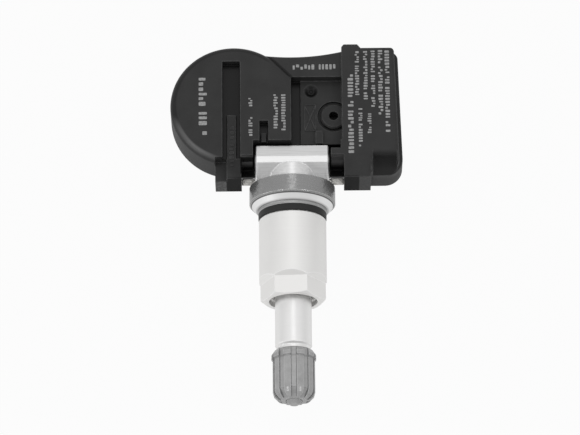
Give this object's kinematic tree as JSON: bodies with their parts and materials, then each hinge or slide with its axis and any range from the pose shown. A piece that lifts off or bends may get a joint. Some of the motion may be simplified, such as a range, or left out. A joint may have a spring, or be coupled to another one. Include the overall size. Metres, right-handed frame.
{
  "type": "tyre pressure sensor",
  "caption": "Tyre pressure sensor: a moulded plastic housing hinged to a clamp-in aluminium tyre valve with a support ring, rubber grommet, sleeve nut and screw cap.",
  "frame": {"origin": "on the valve axis where the sleeve nut meets the rubber grommet, which is the seat of the wheel rim", "axes": "-Y out of the wheel along the valve towards the cap, +Z out of the housing's marked face, +X to the right of that face with the valve at the bottom"},
  "size_m": [0.0496, 0.0797, 0.0184],
  "materials": {
    "stem_metal": "turned and milled, bare",
    "ring_metal": "dull grey",
    "seal_rubber": "matte black",
    "nut_metal": "satin, bare",
    "washer_plastic": "natural",
    "core_brass": "bare",
    "core_rubber": "matte red",
    "spring_steel": "bare",
    "cap_plastic": "satin grey",
    "pin_steel": "bare, knurled ends",
    "housing_plastic": "moulded, fine grain",
    "cover_plastic": "moulded",
    "board_laminate": "green lacquer",
    "cell_steel": "nickel plated",
    "chip_plastic": "matte black",
    "port_rubber": "grey silicone",
    "coil_ferrite": "dark ferrite",
    "antenna_wire": "tinned copper wire"
  },
  "bodies": {
    "valve": {"valve_stem": "stem_metal", "support_ring": "ring_metal", "seal_grommet": "seal_rubber", "core_body": "core_brass", "core_gasket": "core_rubber", "core_spring": "spring_steel"},
    "housing": {"housing_shell": "housing_plastic", "hinge_pin": "pin_steel", "back_cover": "cover_plastic", "circuit_board": "board_laminate", "coin_cell": "cell_steel", "cell_tab_bottom": "cell_steel", "cell_tab_top": "cell_steel", "sensor_chip": "chip_plastic", "port_seal": "port_rubber", "crystal": "cell_steel", "lf_coil": "coil_ferrite", "antenna_loop": "antenna_wire"},
    "washer": {"nut_washer": "washer_plastic"},
    "nut": {"sleeve_nut": "nut_metal"},
    "cap_disc": {"cap_seal": "seal_rubber"},
    "cap": {"valve_cap": "cap_plastic"},
    "core_plunger": {"core_pin": "core_brass", "core_cup": "core_rubber"}
  },
  "joints": [
    {"name": "valve_tilt", "type": "hinge", "parent": "valve", "child": "housing", "pos_m": [0, 0.0097, -0.0018], "axis": [-1, 0, 0], "range_deg": [-5, 25]},
    {"name": "nut_advance", "type": "slide", "parent": "valve", "child": "washer", "axis": [0, -1, 0], "range_m": [0, 0.01]},
    {"name": "nut_spin", "type": "hinge", "parent": "washer", "child": "nut", "pos_m": [0, 0, 0], "axis": [0, -1, 0], "range_deg": [0, 3600]},
    {"name": "cap_advance", "type": "slide", "parent": "valve", "child": "cap_disc", "axis": [0, -1, 0], "range_m": [0, 0.00794]},
    {"name": "cap_spin", "type": "hinge", "parent": "cap_disc", "child": "cap", "pos_m": [0, 0, 0], "axis": [0, -1, 0], "range_deg": [0, 3600]},
    {"name": "core_press", "type": "slide", "parent": "valve", "child": "core_plunger", "axis": [0, 1, 0], "range_m": [0, 0.0012], "stiffness_N_per_m": 600, "springref_m": -0.003, "deforming": ["core_spring"]}
  ],
  "couplings": [
    {"joint": "nut_spin", "follows": "nut_advance", "rad_per_m": 6283.2},
    {"joint": "cap_spin", "follows": "cap_advance", "rad_per_m": 7915.8}
  ]
}
